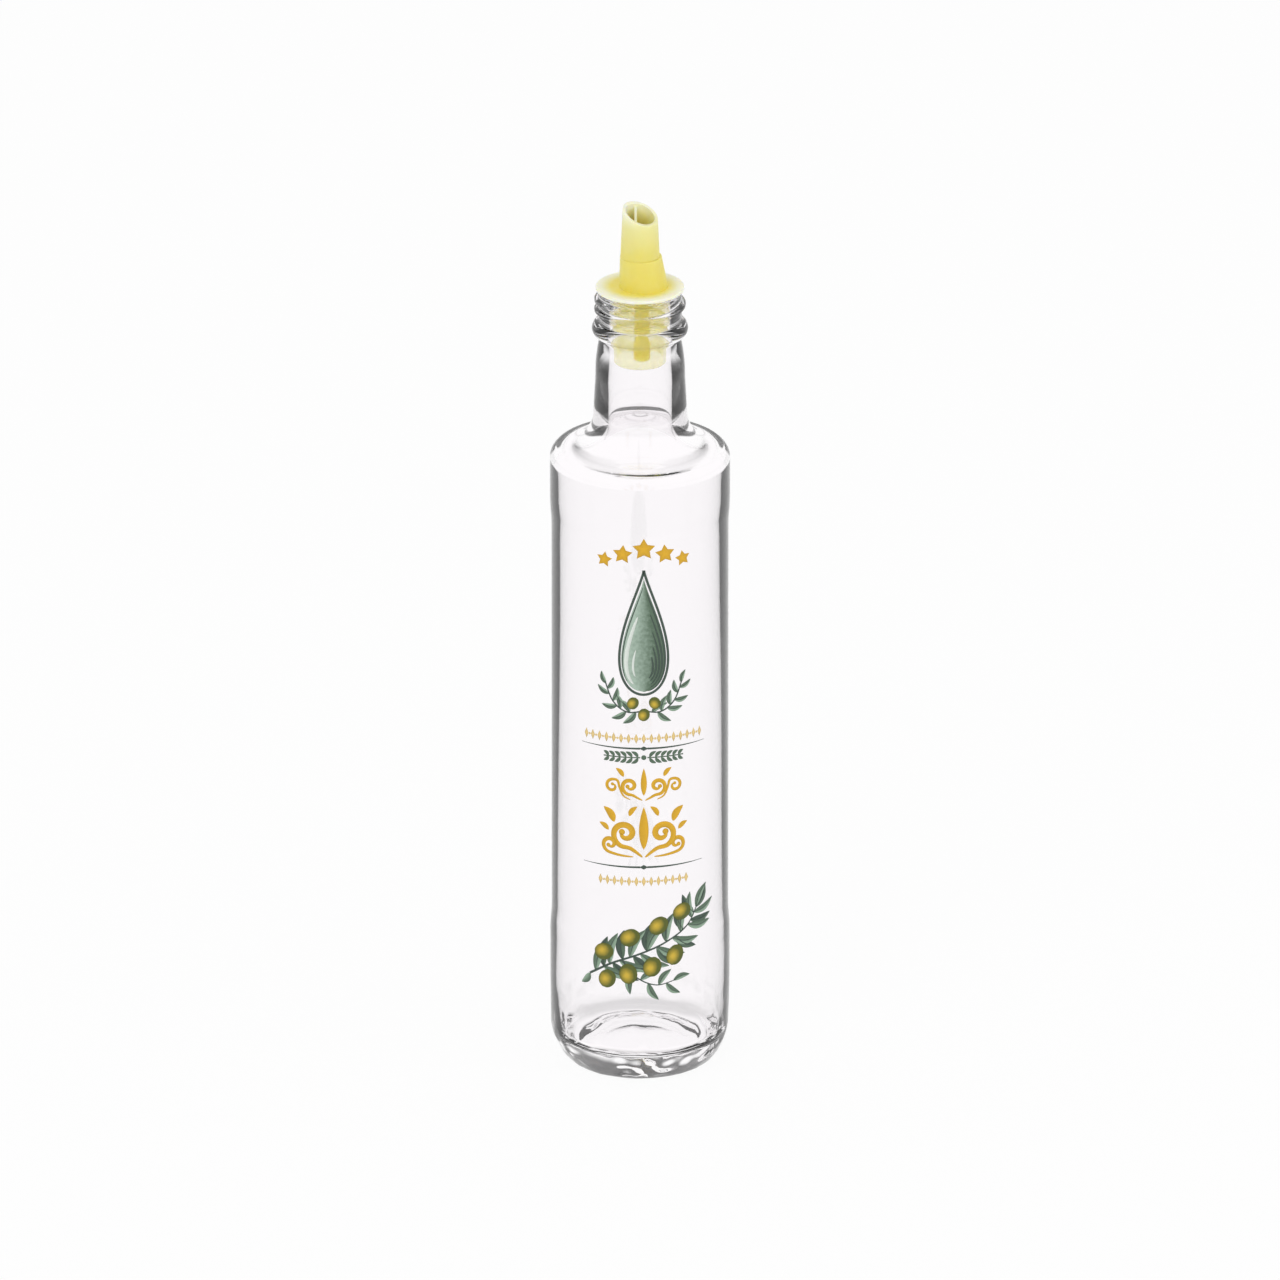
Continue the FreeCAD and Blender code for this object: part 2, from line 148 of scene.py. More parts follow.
class CruetPlastic(bpy.types.PropertyGroup):
    plug: colour("Plug", "Skirt of the plug inside the neck", 1.0, 0.96, 0.50)
    tube: colour("Tube", "Dip tube inside the plug", 1.0, 0.86, 0.24)
    low: colour("Low", "Foot of the spout", 0.91, 0.85, 0.38)
    high: colour("High", "Middle of the spout", 0.92, 0.865, 0.46)
    pale: colour("Pale", "Upper spout", 0.93, 0.90, 0.62)
    lip: colour("Lip", "Lip of the spout, where the plastic is thin", 0.96, 0.95, 0.84)
    flange: colour("Flange", "Edge of the thin flange", 0.99, 0.98, 0.90)
    skirt_cover: plain("Skirt cover", "How much each face of the plug's thin skirt hides", 0.27)
    glow: plain("Glow", "Share of light that travels under the surface", 0.75)
    depth: length("Depth", "How far that light travels", 2.0)


class CruetInks(bpy.types.PropertyGroup):
    gold: colour("Gold", "Stars and scrolls", 0.87, 0.67, 0.10)
    pale_gold: colour("Pale gold", "Rows of small ornament", 0.93, 0.81, 0.53)
    leaf: colour("Leaf", "Grey-green of the leaves", 0.33, 0.42, 0.34)
    leaf_light: colour("Light leaf", "Lit half of a leaf", 0.56, 0.66, 0.57)
    line: colour("Line", "Dark outlines", 0.24, 0.31, 0.27)
    olive: colour("Olive", "Middle of an olive", 0.80, 0.68, 0.20)
    olive_rim: colour("Olive rim", "Edge of an olive", 0.33, 0.36, 0.07)
    wash: colour("Wash", "Light side of the drop", 0.66, 0.74, 0.68)
    shine: colour("Shine", "Highlights on the drop", 0.88, 0.91, 0.88)


class CruetStage(bpy.types.PropertyGroup):
    elevation: angle("Elevation", "How far the camera looks down", 21.5)
    distance: FloatProperty(name="Distance", description="Camera to the cruet", default=12.0, unit="LENGTH")
    view_height: FloatProperty(name="View height", description="Height of the picture at the cruet",
                               default=0.4373, unit="LENGTH")
    aim_height: FloatProperty(name="Aim height", description="Height on the axis that the camera looks at",
                              default=0.1526, unit="LENGTH")
    daylight: plain("Daylight", "Strength of the plain light from all sides", 0.78)
    inner_level: plain("Inner level", "Light that reaches matt surfaces through glass", 1.45)
    key_power: plain("Key power", "Watts of the large soft lamp at the front left", 9.0)
    fill_power: plain("Fill power", "Watts of the large soft lamp at the right", 5.0)
    deep_level: plain("Deep level", "Brightness of what the far walls of the glass mirror", 0.97)
    mirror_level: plain("Mirror level", "Brightness of the band that the outside of the glass mirrors", 0.35)
    shade_level: plain("Shade level", "Brightness of the dark panels that glass shows at its edges", 0.03)


# ---- shapes ----------------------------------------------------------------------------------

class Outline:
    """A chain of lines and arcs in the (r, z) half plane, as edges that a spin turns into a wall."""

    def __init__(self, mesh, r, z):
        self.mesh = mesh
        self.pen = mesh.verts.new((r, 0, z))

    def to(self, point):
        vert = self.mesh.verts.new(point)
        self.mesh.edges.new((self.pen, vert))
        self.pen = vert

    def line(self, r, z, step=None):
        start, end = self.pen.co.copy(), Vector((r, 0, z))
        distance = (end - start).length
        if distance < 1e-7:
            return
        count = math.ceil(distance / step) if step else 1
        for i in range(count):
            self.to(start.lerp(end, (i + 1) / count))

    def arc(self, centre, end, segments=10):
        """The shorter arc round centre to end, both given as (r, z)."""
        hub = Vector((centre[0], 0, centre[1]))
        from_hub, to_end = self.pen.co - hub, Vector((end[0], 0, end[1])) - hub
        turn = from_hub.rotation_difference(to_end)
        for i in range(segments):
            step = turn.copy()
            step.angle = turn.angle * (i + 1) / segments
            self.to(hub + step @ from_hub)

    def through(self, middle, end, segments=16):
        """The arc from the pen through a middle point to end."""
        a = Vector((self.pen.co.x, self.pen.co.z))
        b, c = Vector(middle), Vector(end)
        doubled = 2 * (a.x * (b.y - c.y) + b.x * (c.y - a.y) + c.x * (a.y - b.y))
        squares = [p.length_squared for p in (a, b, c)]
        x = (squares[0] * (b.y - c.y) + squares[1] * (c.y - a.y) + squares[2] * (a.y - b.y)) / doubled
        z = (squares[0] * (c.x - b.x) + squares[1] * (a.x - c.x) + squares[2] * (b.x - a.x)) / doubled
        self.arc((x, z), middle, segments // 2)
        self.arc((x, z), end, segments // 2)


def lathe(mesh, steps):
    """Spins every edge of the mesh round the Z axis into closed, outward-facing walls."""
    bmesh.ops.spin(mesh, geom=mesh.verts[:] + mesh.edges[:], cent=(0, 0, 0), axis=(0, 0, 1), dvec=(0, 0, 0),
                   angle=2 * math.pi, steps=steps, use_merge=True, use_normal_flip=False, use_duplicate=False)
    bmesh.ops.remove_doubles(mesh, verts=mesh.verts[:], dist=1e-7)
    bmesh.ops.recalc_face_normals(mesh, faces=mesh.faces[:])


def smooth_step(x):
    x = min(max(x, 0), 1)
    return x * x * (3 - 2 * x)


def finish_piece(name, mesh, material, replaced=()):
    """Turns a bmesh into a piece that rides on the cruet's one body."""
    data = bpy.data.meshes.new(name)
    mesh.to_mesh(data)
    mesh.free()
    data.polygons.foreach_set("use_smooth", [True] * len(data.polygons))
    piece = bpy.data.objects.new(name, data)
    bpy.context.scene.collection.objects.link(piece)
    data.materials.append(material)
    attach(piece, BODY)
    if replaced:
        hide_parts(*replaced)
    return piece


# ---- materials -------------------------------------------------------------------------------

def new_material(name):
    material = bpy.data.materials.new(name)
    material.use_nodes = True
    nodes = material.node_tree.nodes
    return material, nodes, material.node_tree.links, nodes["Principled BSDF"]


def feed(links, socket, value):
    """Links an output to a socket, or sets the socket to a number or a colour."""
    if isinstance(value, bpy.types.NodeSocket):
        links.new(value, socket)
    elif isinstance(value, (int, float)):
        socket.default_value = value
    else:
        socket.default_value = (*value, 1)


def add_math(nodes, links, operation, *values):
    """A sum on outputs and numbers, in the order of the Math node's sockets."""
    node = nodes.new("ShaderNodeMath")
    node.operation = operation
    for socket, value in zip(node.inputs, values):
        feed(links, socket, value)
    return node.outputs[0]


def add_noise(nodes, links, scale, detail):
    """Noise on the piece's own coordinates, scale in waves per metre."""
    place = nodes.new("ShaderNodeTexCoord").outputs["Object"]
    node = nodes.new("ShaderNodeTexNoise")
    node.inputs["Scale"].default_value = scale
    node.inputs["Detail"].default_value = detail
    links.new(place, node.inputs["Vector"])
    return node.outputs["Fac"]


def add_bump(nodes, links, shader, height, strength, distance):
    node = nodes.new("ShaderNodeBump")
    node.inputs["Strength"].default_value = strength
    node.inputs["Distance"].default_value = distance
    links.new(height, node.inputs["Height"])
    links.new(node.outputs[0], shader.inputs["Normal"])


def add_range(nodes, links, value, low, high, new_low=0, new_high=1, smooth=True):
    """Value, rescaled from low..high to new_low..new_high and held inside them."""
    node = nodes.new("ShaderNodeMapRange")
    node.interpolation_type = "SMOOTHSTEP" if smooth else "LINEAR"
    for name, number in zip(("From Min", "From Max", "To Min", "To Max"), (low, high, new_low, new_high)):
        node.inputs[name].default_value = number
    links.new(value, node.inputs["Value"])
    return node.outputs["Result"]


def add_ramp(nodes, links, value, stops):
    """Colours at rising positions from 0 to 1."""
    node = nodes.new("ShaderNodeValToRGB")
    elements = node.color_ramp.elements
    elements.remove(elements[1])
    for place, shade in stops:
        elements.new(place).color = (*shade, 1)
    elements.remove(elements[0])
    links.new(value, node.inputs[0])
    return node.outputs[0]


def add_mix(nodes, links, share, first, second):
    """Blends two colours, each an output or a plain colour."""
    node = nodes.new("ShaderNodeMix")
    node.data_type = "RGBA"
    for socket, value in zip((node.inputs[0], node.inputs[6], node.inputs[7]), (share, first, second)):
        feed(links, socket, value)
    return node.outputs[2]


def clear_glass(glass):
    """Flint glass with the faint waviness and haze of a moulded bottle."""
    material, nodes, links, shader = new_material("clear_glass")
    shader.inputs["Base Color"].default_value = (*glass.tint, 1)
    shader.inputs["Transmission Weight"].default_value = 1
    shader.inputs["IOR"].default_value = glass.ior
    haze = add_range(nodes, links, add_noise(nodes, links, 160, 2), 0.45, 0.75, 0.0, 0.004)
    links.new(haze, shader.inputs["Roughness"])
    add_bump(nodes, links, shader, add_noise(nodes, links, 70, 1), 0.04, 0.1 * MM)
    return material


def yellow_plastic(plastic):
    """Translucent polythene: deep yellow where it is thick, pale on the flange and towards the lip.

    The plug's thin skirt is partly open to sight, so that the dip tube shows through it as a darker bar.
    """
    material, nodes, links, shader = new_material("yellow_plastic")
    place = nodes.new("ShaderNodeTexCoord").outputs["Object"]
    axes = nodes.new("ShaderNodeSeparateXYZ")
    links.new(place, axes.inputs[0])
    height = add_range(nodes, links, axes.outputs["Z"], RIM_HEIGHT - 12 * MM, SPOUT_TIP, smooth=False)
    body = add_ramp(nodes, links, height, ((0.0, plastic.plug), (0.24, plastic.plug), (0.33, plastic.low),
                                           (0.62, plastic.high), (0.84, plastic.pale), (0.95, plastic.lip)))
    flat = nodes.new("ShaderNodeVectorMath")
    flat.operation = "MULTIPLY"
    links.new(place, flat.inputs[0])
    flat.inputs[1].default_value = (1, 1, 0)
    radius = nodes.new("ShaderNodeVectorMath")
    radius.operation = "LENGTH"
    links.new(flat.outputs[0], radius.inputs[0])
    rim = add_range(nodes, links, radius.outputs["Value"], 0.62 * FLANGE_RADIUS, 0.95 * FLANGE_RADIUS)
    thin = add_mix(nodes, links, rim, body, plastic.flange)
    below_rim = add_range(nodes, links, axes.outputs["Z"], RIM_HEIGHT - 0.6 * MM, RIM_HEIGHT, 1, 0)
    outer = add_range(nodes, links, radius.outputs["Value"], 0.3 * FLANGE_RADIUS, 0.5 * FLANGE_RADIUS)
    inner = add_range(nodes, links, outer, 0, 1, 1, 0)
    tube = add_math(nodes, links, "MULTIPLY", below_rim, inner)
    skirt = add_math(nodes, links, "MULTIPLY", below_rim, outer)
    tinted = add_mix(nodes, links, tube, thin, plastic.tube)
    cloud = add_range(nodes, links, add_noise(nodes, links, 210, 3), 0.35, 0.75, 0.0, 0.2)
    links.new(add_mix(nodes, links, cloud, tinted, plastic.pale), shader.inputs["Base Color"])
    links.new(add_range(nodes, links, add_noise(nodes, links, 500, 2), 0.3, 0.7, 0.42, 0.58),
              shader.inputs["Roughness"])
    links.new(add_range(nodes, links, skirt, 0, 1, 1, plastic.skirt_cover), shader.inputs["Alpha"])
    shader.inputs["Subsurface Weight"].default_value = plastic.glow
    shader.inputs["Subsurface Radius"].default_value = (1.0, 0.85, 0.4)
    shader.inputs["Subsurface Scale"].default_value = plastic.depth
    add_bump(nodes, links, shader, add_noise(nodes, links, 900, 3), 0.12, 0.08 * MM)
    return material


# ---- bottle ----------------------------------------------------------------------------------

def step_side(outline, radius, height):
    """An S-curve of two equal arcs from the pen to a straight side of another radius."""
    r, z = outline.pen.co.x, outline.pen.co.z
    offset, rise = radius - r, height - z
    turn = math.copysign((offset ** 2 + rise ** 2) / (4 * abs(offset)), offset)
    outline.arc((r + turn, z), (r + offset / 2, z + rise / 2))
    outline.arc((radius - turn, height), (radius, height))


def neck_fillet(outline, slope, neck_radius, fillet, draft):
    """From the pen up the sloping shoulder, then round a fillet to the foot of the neck."""
    r, z = outline.pen.co.x, outline.pen.co.z
    centre_r = neck_radius + fillet * math.cos(draft)
    start_r = centre_r - fillet * math.sin(slope)
    start_z = z + (r - start_r) * math.tan(slope)
    centre_z = start_z + fillet * math.cos(slope)
    outline.line(start_r, start_z)
    outline.arc((centre_r, centre_z), (neck_radius, centre_z - fillet * math.sin(draft)), 24)


def draw_outside(glass, outline):
    """Foot ring, heel, bands and panel, shoulder, neck, bead and thread root, up to the rim."""
    foot_outer = SIDE_RADIUS - glass.heel_inset
    foot_inner = foot_outer - glass.foot_width
    dome = (foot_inner ** 2 + glass.punt_rise ** 2) / (2 * glass.punt_rise)
    outline.arc((0, glass.punt_rise - dome), (foot_inner, 0), 16)
    outline.line(foot_outer, 0)

    inset, rise, small = glass.heel_inset, glass.heel_rise, glass.foot_arc
    large = (inset ** 2 + rise ** 2 - 2 * rise * small) / (2 * (inset - small))
    away = (Vector((foot_outer, small)) - Vector((SIDE_RADIUS - large, rise))).normalized()
    outline.arc((foot_outer, small), Vector((foot_outer, small)) + small * away, 14)
    outline.arc((SIDE_RADIUS - large, rise), (SIDE_RADIUS, rise), 16)

    shoulder = RIM_HEIGHT - glass.shoulder_drop
    outline.line(SIDE_RADIUS, glass.lower_band_top, 6 * MM)
    step_side(outline, SIDE_RADIUS - glass.panel_recess, glass.lower_band_top + glass.panel_blend)
    panel_top = shoulder - glass.upper_band_height
    outline.line(SIDE_RADIUS - glass.panel_recess, panel_top - glass.panel_blend, 6 * MM)
    step_side(outline, SIDE_RADIUS, panel_top)
    outline.line(SIDE_RADIUS, shoulder, 4 * MM)

    arc, slope, draft = glass.shoulder_arc, glass.shoulder_slope, glass.neck_draft
    outline.arc((SIDE_RADIUS - arc, shoulder),
                (SIDE_RADIUS - arc + arc * math.sin(slope), shoulder + arc * math.cos(slope)), 16)
    neck_fillet(outline, slope, glass.neck_foot_radius, glass.neck_fillet, draft)

    cone_r = glass.neck_foot_radius - glass.neck_straight * math.tan(draft)
    cone_z = outline.pen.co.z + glass.neck_straight
    outline.line(cone_r, cone_z, 3 * MM)
    bead_r, bead_z = glass.bead_radius - glass.bead_arc, RIM_HEIGHT - glass.bead_drop
    waist_z = bead_z - math.sqrt(glass.bead_arc ** 2 - (glass.waist_radius - bead_r) ** 2)
    outline.through(((cone_r + glass.waist_radius) / 2 + glass.waist_bulge, (cone_z + waist_z) / 2),
                    (glass.waist_radius, waist_z))
    over_bead = math.sqrt(glass.bead_arc ** 2 - (glass.finish_radius - bead_r) ** 2)
    outline.through((glass.bead_radius, bead_z), (glass.finish_radius, bead_z + over_bead), 28)
    rim_r = glass.finish_radius - glass.rim_outer_arc
    outline.line(glass.finish_radius, RIM_HEIGHT - glass.rim_outer_arc, 0.16 * MM)
    outline.arc((rim_r, RIM_HEIGHT - glass.rim_outer_arc), (rim_r, RIM_HEIGHT), 8)


def draw_inside(glass, outline):
    """Mouth, neck bore, shoulder, wall and domed floor, from the rim down."""
    inner = Outline(outline.mesh, 0, glass.punt_rise + glass.base_thickness)
    foot_radius, top_radius = SIDE_RADIUS - glass.foot_wall, SIDE_RADIUS - glass.top_wall
    heel_r = foot_radius - glass.inner_heel_arc
    dome_z = inner.pen.co.z - glass.floor_dome
    reach = glass.floor_dome + glass.inner_heel_arc
    heel_z = dome_z + math.sqrt(reach ** 2 - heel_r ** 2)
    down = (Vector((0, dome_z)) - Vector((heel_r, heel_z))).normalized() * glass.inner_heel_arc
    inner.arc((0, dome_z), (heel_r + down.x, heel_z + down.y), 16)
    inner.arc((heel_r, heel_z), (foot_radius, heel_z), 20)

    arc, slope = glass.inner_shoulder_arc, glass.shoulder_slope
    centre_r = top_radius - arc
    centre_z = RIM_HEIGHT - glass.shoulder_drop - glass.top_wall - arc + glass.shoulder_arc
    panel_top = RIM_HEIGHT - glass.shoulder_drop - glass.upper_band_height
    inner.line(foot_radius, glass.lower_band_top, 3 * MM)
    step_side(inner, foot_radius - glass.panel_recess, glass.lower_band_top + glass.panel_blend)
    inner.line(top_radius - glass.panel_recess, panel_top - glass.panel_blend, 3 * MM)
    step_side(inner, top_radius, panel_top)
    inner.line(top_radius, centre_z, 3 * MM)
    inner.arc((centre_r, centre_z), (centre_r + arc * math.sin(slope), centre_z + arc * math.cos(slope)), 12)
    neck_fillet(inner, slope, glass.bore_radius, glass.inner_neck_fillet, 0)
    inner.line(glass.bore_radius, RIM_HEIGHT - glass.mouth_depth - glass.mouth_blend, 3 * MM)
    inner.line(glass.mouth_radius, RIM_HEIGHT - glass.mouth_depth, 1 * MM)
    inner.line(glass.mouth_radius, RIM_HEIGHT - glass.rim_inner_arc, 3 * MM)
    lip_r = glass.mouth_radius + glass.rim_inner_arc
    inner.arc((lip_r, RIM_HEIGHT - glass.rim_inner_arc), (lip_r, RIM_HEIGHT), 6)
    outline.mesh.edges.new((inner.pen, outline.pen))


def raise_thread(glass, mesh):
    """Lifts the thread root's surface into a helical ridge that fades in and out."""
    lowest = RIM_HEIGHT - glass.thread_drop - glass.thread_pitch * glass.thread_turns
    for vert in mesh.verts:
        radius = math.hypot(vert.co.x, vert.co.y)
        if abs(radius - glass.finish_radius) > 1e-6:
            continue
        share = math.atan2(vert.co.y, vert.co.x) / (2 * math.pi) % 1
        lift = 0
        for whole in range(math.ceil(glass.thread_turns)):
            turns = share + whole
            if turns > glass.thread_turns:
                continue
            off = abs(vert.co.z - lowest - glass.thread_pitch * turns)
            flank = (glass.thread_foot / 2 - off) / (glass.thread_foot - glass.thread_crest) * 2
            fade = min(turns, glass.thread_turns - turns) / glass.thread_fade
            lift = max(lift, smooth_step(flank) * smooth_step(fade))
        vert.co.xy *= 1 + lift * glass.thread_height / radius


def ripple_inside(glass, mesh):
    """Makes the inner wall a little uneven, as glass that was blown, not moulded, on the inside."""
    low, high = 2 * glass.heel_rise, RIM_HEIGHT - glass.mouth_depth
    outermost = SIDE_RADIUS - glass.foot_wall
    for vert in mesh.verts:
        radius = math.hypot(vert.co.x, vert.co.y)
        if radius > outermost + 1e-6 or radius < glass.bore_radius - 1e-6:
            continue
        if not low < vert.co.z < high:
            continue
        spot = Vector((vert.co.x * 18, vert.co.y * 18, vert.co.z * 12))
        fade = smooth_step(min(vert.co.z - low, high - vert.co.z) / glass.heel_rise)
        vert.co.xy *= 1 + noise.noise(spot) * glass.ripple * fade / radius


def roughen_heel(glass, mesh):
    """Lets the moulded heel and the corner of the inside floor stray inwards, never out of the true shape."""
    top = 2 * glass.heel_rise
    smooth_insets = 2.2
    for vert in mesh.verts:
        radius = math.hypot(vert.co.x, vert.co.y)
        if vert.co.z > top or radius < glass.heel_inset * smooth_insets:
            continue
        fade = smooth_step((top - vert.co.z) / glass.heel_rise)
        fade *= smooth_step((radius / glass.heel_inset - smooth_insets) * 3)
        spot = Vector((vert.co.x, vert.co.y, vert.co.z * 1.3)) * 210
        vert.co.xy *= 1 - (0.5 + 0.5 * noise.noise(spot)) * glass.unevenness * fade / radius


class CRUET_OT_bottle(bpy.types.Operator):
    """Makes the glass bottle"""

    bl_idname = "cruet.bottle"
    bl_label = "Bottle"

    def execute(self, context):
        glass = context.scene.cruet_glass
        mesh = bmesh.new()
        outline = Outline(mesh, 0, glass.punt_rise)
        draw_outside(glass, outline)
        draw_inside(glass, outline)
        lathe(mesh, 160)
        raise_thread(glass, mesh)
        ripple_inside(glass, mesh)
        roughen_heel(glass, mesh)
        finish_piece("glass_bottle", mesh, clear_glass(glass), ["bottle"])
        return {"FINISHED"}


class CRUET_OT_pourer(bpy.types.Operator):
    """Gives the pourer its translucent plastic"""

    bl_idname = "cruet.pourer"
    bl_label = "Pourer"

    def execute(self, context):
        pourer = bpy.data.objects["pourer"]
        pourer.material_slots[0].material = yellow_plastic(context.scene.cruet_plastic)
        return {"FINISHED"}


# ---- printed decoration ----------------------------------------------------------------------

def side_radius(glass, z):
    """Outside radius of the body at height z, through the recessed panel and its two S-curves."""
    run, recess = glass.panel_blend, glass.panel_recess
    upper_end = RIM_HEIGHT - glass.shoulder_drop - glass.upper_band_height
    into = min(max(min(z - glass.lower_band_top, upper_end - z), 0), run)
    bend = (recess ** 2 + run ** 2) / (4 * recess)
    if into < run / 2:
        return SIDE_RADIUS - bend + math.sqrt(bend ** 2 - into ** 2)
    return SIDE_RADIUS - recess + bend - math.sqrt(bend ** 2 - (run - into) ** 2)


def smooth_path(knots, steps=8):
    """Points along a smooth curve through flat knots, all in millimetres."""
    points = [Vector(knot) for knot in knots]
    if len(points) == 2:
        points.insert(1, (points[0] + points[1]) / 2)
    slopes = [points[min(i + 1, len(points) - 1)] - points[max(i - 1, 0)] for i in range(len(points))]
    path = []
    for i in range(len(points) - 1):
        a, b = points[i], points[i + 1]
        reach = (b - a).length / 3
        first, last = a + reach * slopes[i].normalized(), b - reach * slopes[i + 1].normalized()
        path += interpolate_bezier(a, first, last, b, steps + 1)[:-1]
    return path + [points[-1]]


def leaf_shape(u):
    return max(math.sin(math.pi * u ** 0.85) ** 0.8, 0.02) if 0 < u < 1 else 0.02


def oval_shape(u):
    return max(math.sqrt(max(1 - (2 * u - 1) ** 2, 0)), 0.02)


def stroke_shape(u):
    """A pen stroke that swells and tapers."""
    return 0.22 + 0.78 * math.sin(math.pi * u) ** 0.6 if 0 < u < 1 else 0.22


def drop_shape(u):
    """A drop, from its point at 0 to its round foot at 1, about 1 at its widest."""
    widest = 0.3508
    return max(u ** 1.25 * math.sqrt(max(1 - u, 0)) / widest, 0.01)


def fading_shape(u):
    return max(1 - u, 0.08) ** 0.6


def stem_shape(u):
    return 1 - 0.5 * u


def even_shape(u):
    return 1


def across(u, v):
    """Tone that runs from one edge of a shape to the other."""
    return v / 2 + 0.5


def rounded(u, v):
    """Tone that darkens away from a spot near one end, as on a lit fruit."""
    along = 2 * u - 1
    beside = v * math.sqrt(max(1 - along ** 2, 0))
    return min(math.hypot(along + 0.15, beside - 0.2) / 1.1, 1)


class Ink:
    """Flat shapes in millimetres, s along the glass from its front line and z up, before they are wrapped."""

    def __init__(self):
        self.mesh = bmesh.new()
        self.tone = self.mesh.verts.layers.float.new("tone")
        self.count = 0

    def next_lift(self):
        """Each shape lies a hair above or below its neighbours, so crossing shapes never share a face."""
        self.count += 1
        return self.count % LIFTS * LIFT_STEP

    def ribbon(self, knots, width, shape=even_shape, tone=across, columns=2, steps=8):
        """A strip along a smooth curve."""
        path = smooth_path(knots, steps)
        count = len(path) - 1
        lift = self.next_lift()
        made = bmesh.ops.create_grid(self.mesh, x_segments=count, y_segments=columns, size=0.5)
        for vert in made["verts"]:
            u, v = vert.co.x + 0.5, 2 * vert.co.y
            i = round(u * count)
            along = (path[min(i + 1, count)] - path[max(i - 1, 0)]).normalized()
            flat = path[i] + Vector((-along.y, along.x)) * v * shape(i / count) * width / 2
            vert.co = (*flat, lift)
            vert[self.tone] = tone(i / count, v)
        bmesh.ops.remove_doubles(self.mesh, verts=made["verts"], dist=1e-4)

    def leaf(self, foot, tip, width, bend=0.12, **options):
        a, b = Vector(foot), Vector(tip)
        side = Vector((a.y - b.y, b.x - a.x)) * bend
        self.ribbon([a, (a + b) / 2 + side, b], width, leaf_shape, **{"columns": 4, **options})

    def oval(self, centre, length, width, turn, **options):
        half = Vector((math.cos(turn), math.sin(turn))) * length / 2
        middle = Vector(centre)
        self.ribbon([middle - half, middle + half], width, oval_shape, columns=8, **options)

    def polygon(self, centre, radius, corners, inner=None, turn=90, stretch=1):
        """A regular polygon, or a star where inner gives the radius between its points."""
        count = corners * 2 if inner else corners
        lift = self.next_lift()
        made = bmesh.ops.create_circle(self.mesh, cap_ends=True, cap_tris=True, segments=count, radius=1)
        for vert in made["verts"]:
            size = vert.co.length
            bearing = math.atan2(vert.co.y, vert.co.x) - math.atan2(1, 0)
            i = round(bearing / (2 * math.pi) * count)
            reach = size * (inner if inner and i % 2 else radius)
            heading = 2 * math.pi * i / count + math.radians(turn)
            flat = centre[0] + reach * math.cos(heading) * stretch, centre[1] + reach * math.sin(heading)
            vert.co = (*flat, lift)
            vert[self.tone] = size

    def volute(self, middle, side, lead, centre, start, radii, turns, width):
        """A stroke that runs in along its lead points, curls round a centre and ends in a dot."""
        knots = [(middle + side * x, z) for x, z in lead]
        outer, inner = radii
        count = round(abs(turns) * 10)
        for i in range(count + 1):
            radius = outer * (inner / outer) ** (i / count)
            heading = math.radians(start) + 2 * math.pi * turns * i / count
            place = centre[0] + radius * math.cos(heading), centre[1] + radius * math.sin(heading)
            knots.append((middle + side * place[0], place[1]))
        self.ribbon(knots, width, stroke_shape, columns=3, steps=3)
        self.polygon(knots[-1], width * 0.5, 14)

    def wrap(self, glass, name, material, layer=0):
        """Cuts the shapes into strips, bends them round the glass and gives them the ink's thickness."""
        mesh = self.mesh
        reach = math.ceil(max(abs(vert.co.x) for vert in mesh.verts))
        low, high = min(vert.co.y for vert in mesh.verts), max(vert.co.y for vert in mesh.verts)
        cuts = [((s, 0, 0), (1, 0, 0)) for s in range(-reach, reach + 1, STRIP_WIDTH)]
        cuts += [((0, z, 0), (0, 1, 0)) for z in STRIP_HEIGHTS if low < z < high]
        for place, direction in cuts:
            bmesh.ops.bisect_plane(mesh, geom=mesh.verts[:] + mesh.edges[:] + mesh.faces[:],
                                   plane_co=place, plane_no=direction, dist=CUT_TOLERANCE)
        base = glass.ink_lift + layer * glass.ink_thickness * 1.5
        for vert in mesh.verts:
            s, z, lift = vert.co * MM
            radius = side_radius(glass, z)
            heading = s / radius
            away = Vector((math.sin(heading), -math.cos(heading), 0))
            vert.co = away * (radius + base + lift) + Vector((0, 0, z))
        made = bmesh.ops.extrude_face_region(mesh, geom=mesh.faces[:])["geom"]
        for vert in made:
            if isinstance(vert, bmesh.types.BMVert):
                vert.co.xy *= 1 + glass.ink_thickness / vert.co.xy.length
        bmesh.ops.recalc_face_normals(mesh, faces=mesh.faces[:])
        return finish_piece(name, mesh, material)


def ink_material(name, light, dark=None, spread=0.5):
    """Opaque enamel ink. Its tone runs from light to dark over each shape, and it is a little uneven."""
    material, nodes, links, shader = new_material(name)
    shader.inputs["Roughness"].default_value = 0.38
    grain = add_noise(nodes, links, 900, 3)
    tone = nodes.new("ShaderNodeAttribute")
    tone.attribute_name = "tone"
    uneven = add_math(nodes, links, "MULTIPLY_ADD", grain, spread, tone.outputs["Fac"])
    dark = dark or [c * 0.86 for c in light]
    shade = add_ramp(nodes, links, uneven, ((0.15 + spread / 2, light), (0.75 + spread / 2, dark)))
    links.new(shade, shader.inputs["Base Color"])
    add_bump(nodes, links, shader, grain, 0.25, 0.03 * MM)
    return material


def spray(leaves, veins, knots, count, size, width, spread=40, first=0.12):
    """Leaves by turns on either side of a stem, shorter towards its end, and one at its tip."""
    path = smooth_path(knots)
    for i in range(count):
        share = first + (1 - first) * i / (count - 1)
        j = min(round(share * (len(path) - 1)), len(path) - 2)
        along = (path[j + 1] - path[j]).normalized()
        side = (-1) ** i
        lean = 0 if i == count - 1 else math.radians(spread + 7 * (i % 3)) * side
        tip = path[j] + Matrix.Rotation(lean, 2) @ along * size * (1 - 0.25 * share)
        leaves.leaf(path[j], tip, width * (1 - 0.2 * share), 0.1 * side)
        veins.leaf(path[j], tip, 0.3, 0.1 * side, columns=2)


